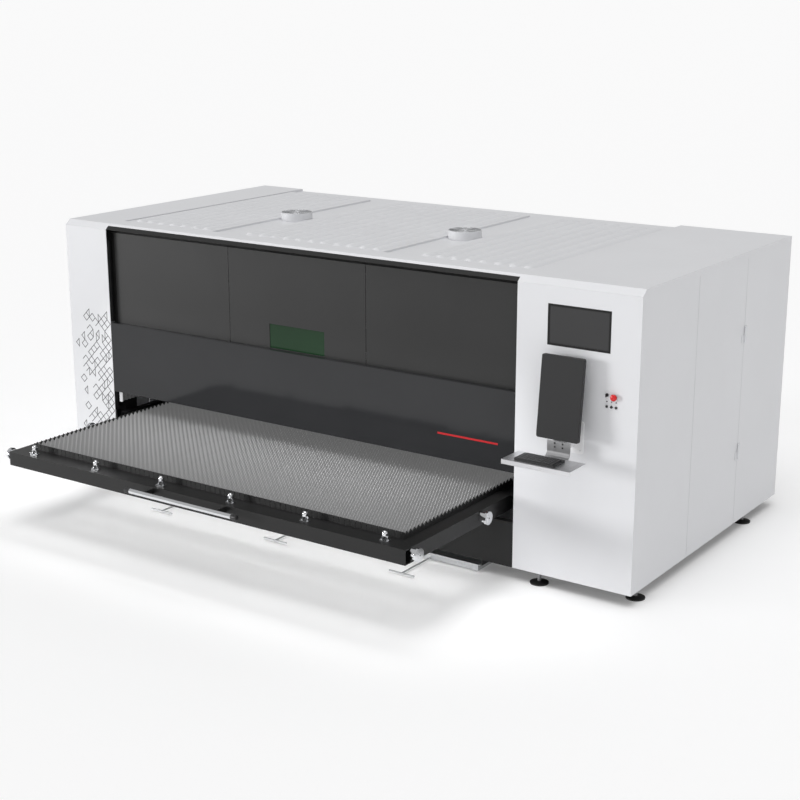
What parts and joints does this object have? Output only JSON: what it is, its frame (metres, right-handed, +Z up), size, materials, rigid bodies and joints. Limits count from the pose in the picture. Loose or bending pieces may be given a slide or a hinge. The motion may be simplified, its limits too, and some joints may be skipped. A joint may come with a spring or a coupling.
{
  "type": "fibre laser cutting machine",
  "caption": "Enclosed flat-bed fibre laser cutter: the toothed slat bed rolls out under a lifting front door, with a gantry and cutting head inside and an operator station at the right.",
  "frame": {"origin": "bottom centre of the whole machine's box with the bed pulled out, at floor level", "axes": "+X to the right as the operator faces the machine, +Y into the machine away from the operator, +Z up"},
  "size_m": [4.62, 3.462, 1.96],
  "materials": {
    "white_paint": "satin",
    "dark_paint": "satin",
    "door_paint": "gloss",
    "frame_paint": "satin",
    "machine_grey": "satin",
    "bed_steel": "matte",
    "galvanised": "satin",
    "bright_steel": "satin",
    "chrome": "polished",
    "aluminium": "satin",
    "foot_black": "matte",
    "green_glass": "gloss",
    "screen_glass": "gloss",
    "black_plastic": "matte",
    "red_plastic": "gloss",
    "curtain_fabric": "matte"
  },
  "bodies": {
    "machine": {"base_frame": "machine_grey", "cabin_frame": "machine_grey", "levelling_feet": "foot_black", "left_front_panel": "white_paint", "right_front_panel": "white_paint", "right_side_panels": "white_paint", "left_side_panels": "white_paint", "rear_panels": "white_paint", "roof_lids": "white_paint", "roof_deck": "white_paint", "roof_ribbed_panels": "white_paint", "fan_guards": "bright_steel", "upper_panels": "dark_paint", "viewing_window": "green_glass", "opening_trims": "dark_paint", "lower_panel": "dark_paint", "door_columns": "bright_steel", "table_rails": "machine_grey", "x_beams": "machine_grey", "side_curtains": "curtain_fabric", "laser_source": "machine_grey", "electrical_enclosures": "machine_grey", "exhaust_duct": "galvanised", "power_gland": "black_plastic", "wall_screen": "screen_glass", "monitor_mount": "white_paint", "monitor_bracket": "bright_steel", "keyboard_shelf": "bright_steel", "keyboard": "black_plastic", "panel_fittings": "black_plastic", "tray_runners": "machine_grey"},
    "lift_door": {"lift_door": "door_paint", "door_shoes": "bright_steel"},
    "service_door": {"right_service_door": "white_paint"},
    "table": {"table_frame": "frame_paint", "bed_slats": "bed_steel", "comb_plates": "frame_paint", "ball_transfers": "chrome", "table_handle": "chrome", "roller_axles": "bright_steel"},
    "gantry": {"gantry_beam": "machine_grey"},
    "carriage": {"head_carriage": "aluminium"},
    "cutting_head": {"cutting_head": "aluminium"},
    "monitor": {"monitor": "screen_glass"},
    "emergency_stop": {"emergency_stop": "red_plastic"},
    "key_switch": {"key_switch": "black_plastic"},
    "fan_left": {"fan_impeller_left": "black_plastic"},
    "fan_right": {"fan_impeller_right": "black_plastic"},
    "button_left": {"push_button_left": "black_plastic"},
    "tray_left": {"slag_tray_left": "galvanised"},
    "button_middle": {"push_button_middle": "black_plastic"},
    "tray_middle": {"slag_tray_middle": "galvanised"},
    "button_right": {"push_button_right": "black_plastic"},
    "tray_right": {"slag_tray_right": "galvanised"},
    "roller_left_1": {"bed_roller_left_1": "chrome"},
    "roller_left_2": {"bed_roller_left_2": "chrome"},
    "roller_left_3": {"bed_roller_left_3": "chrome"},
    "roller_right_1": {"bed_roller_right_1": "chrome"},
    "roller_right_2": {"bed_roller_right_2": "chrome"},
    "roller_right_3": {"bed_roller_right_3": "chrome"}
  },
  "joints": [
    {"name": "table_slide", "type": "slide", "parent": "machine", "child": "table", "axis": [0, 1, 0], "range_m": [-0.25, 1.1]},
    {"name": "roller_left_1_turn", "type": "hinge", "parent": "table", "child": "roller_left_1", "pos_m": [-1.8565, -1.57, 0.48], "axis": [1, 0, 0], "continuous": true},
    {"name": "roller_left_2_turn", "type": "hinge", "parent": "table", "child": "roller_left_2", "pos_m": [-1.8565, -0.83, 0.48], "axis": [1, 0, 0], "continuous": true},
    {"name": "roller_left_3_turn", "type": "hinge", "parent": "table", "child": "roller_left_3", "pos_m": [-1.8565, -0.09, 0.48], "axis": [1, 0, 0], "continuous": true},
    {"name": "roller_right_1_turn", "type": "hinge", "parent": "table", "child": "roller_right_1", "pos_m": [1.4495, -1.57, 0.48], "axis": [1, 0, 0], "continuous": true},
    {"name": "roller_right_2_turn", "type": "hinge", "parent": "table", "child": "roller_right_2", "pos_m": [1.4495, -0.83, 0.48], "axis": [1, 0, 0], "continuous": true},
    {"name": "roller_right_3_turn", "type": "hinge", "parent": "table", "child": "roller_right_3", "pos_m": [1.4495, -0.09, 0.48], "axis": [1, 0, 0], "continuous": true},
    {"name": "door_lift", "type": "slide", "parent": "machine", "child": "lift_door", "axis": [0, 0, 1], "range_m": [-0.1, 0.59]},
    {"name": "service_door_swing", "type": "hinge", "parent": "machine", "child": "service_door", "pos_m": [2.307, 0.947, 0.9], "axis": [0, 0, -1], "range_deg": [0, 110]},
    {"name": "gantry_travel", "type": "slide", "parent": "machine", "child": "gantry", "axis": [1, 0, 0], "range_m": [0, 2.9]},
    {"name": "carriage_travel", "type": "slide", "parent": "gantry", "child": "carriage", "axis": [0, 1, 0], "range_m": [-0.75, 0.75]},
    {"name": "head_lift", "type": "slide", "parent": "carriage", "child": "cutting_head", "axis": [0, 0, 1], "range_m": [-0.07, 0.05]},
    {"name": "monitor_tilt", "type": "hinge", "parent": "machine", "child": "monitor", "pos_m": [1.85, -0.623, 1.247], "axis": [1, 0, 0], "range_deg": [-10, 12]},
    {"name": "stop_press", "type": "slide", "parent": "machine", "child": "emergency_stop", "axis": [0, 1, 0], "range_m": [0, 0.005], "stiffness_N_per_m": 2000},
    {"name": "key_turn", "type": "hinge", "parent": "machine", "child": "key_switch", "pos_m": [2.098, -0.565, 1.283], "axis": [0, 1, 0], "range_deg": [0, 90]},
    {"name": "button_left_press", "type": "slide", "parent": "machine", "child": "button_left", "axis": [0, 1, 0], "range_m": [0, 0.004], "stiffness_N_per_m": 1000},
    {"name": "button_middle_press", "type": "slide", "parent": "machine", "child": "button_middle", "axis": [0, 1, 0], "range_m": [0, 0.004], "stiffness_N_per_m": 1000},
    {"name": "button_right_press", "type": "slide", "parent": "machine", "child": "button_right", "axis": [0, 1, 0], "range_m": [0, 0.004], "stiffness_N_per_m": 1000},
    {"name": "fan_left_spin", "type": "hinge", "parent": "machine", "child": "fan_left", "pos_m": [-0.972, 0.45, 1.91], "axis": [0, 0, 1], "continuous": true},
    {"name": "fan_right_spin", "type": "hinge", "parent": "machine", "child": "fan_right", "pos_m": [0.475, 0.45, 1.91], "axis": [0, 0, 1], "continuous": true},
    {"name": "tray_left_pull", "type": "slide", "parent": "machine", "child": "tray_left", "axis": [0, -1, 0], "range_m": [0, 1.2]},
    {"name": "tray_middle_pull", "type": "slide", "parent": "machine", "child": "tray_middle", "axis": [0, -1, 0], "range_m": [0, 1.2]},
    {"name": "tray_right_pull", "type": "slide", "parent": "machine", "child": "tray_right", "axis": [0, -1, 0], "range_m": [0, 1.2]}
  ],
  "couplings": [
    {"joint": "roller_left_3_turn", "follows": "table_slide", "rad_per_m": -24.39},
    {"joint": "roller_right_3_turn", "follows": "table_slide", "rad_per_m": -24.39}
  ]
}
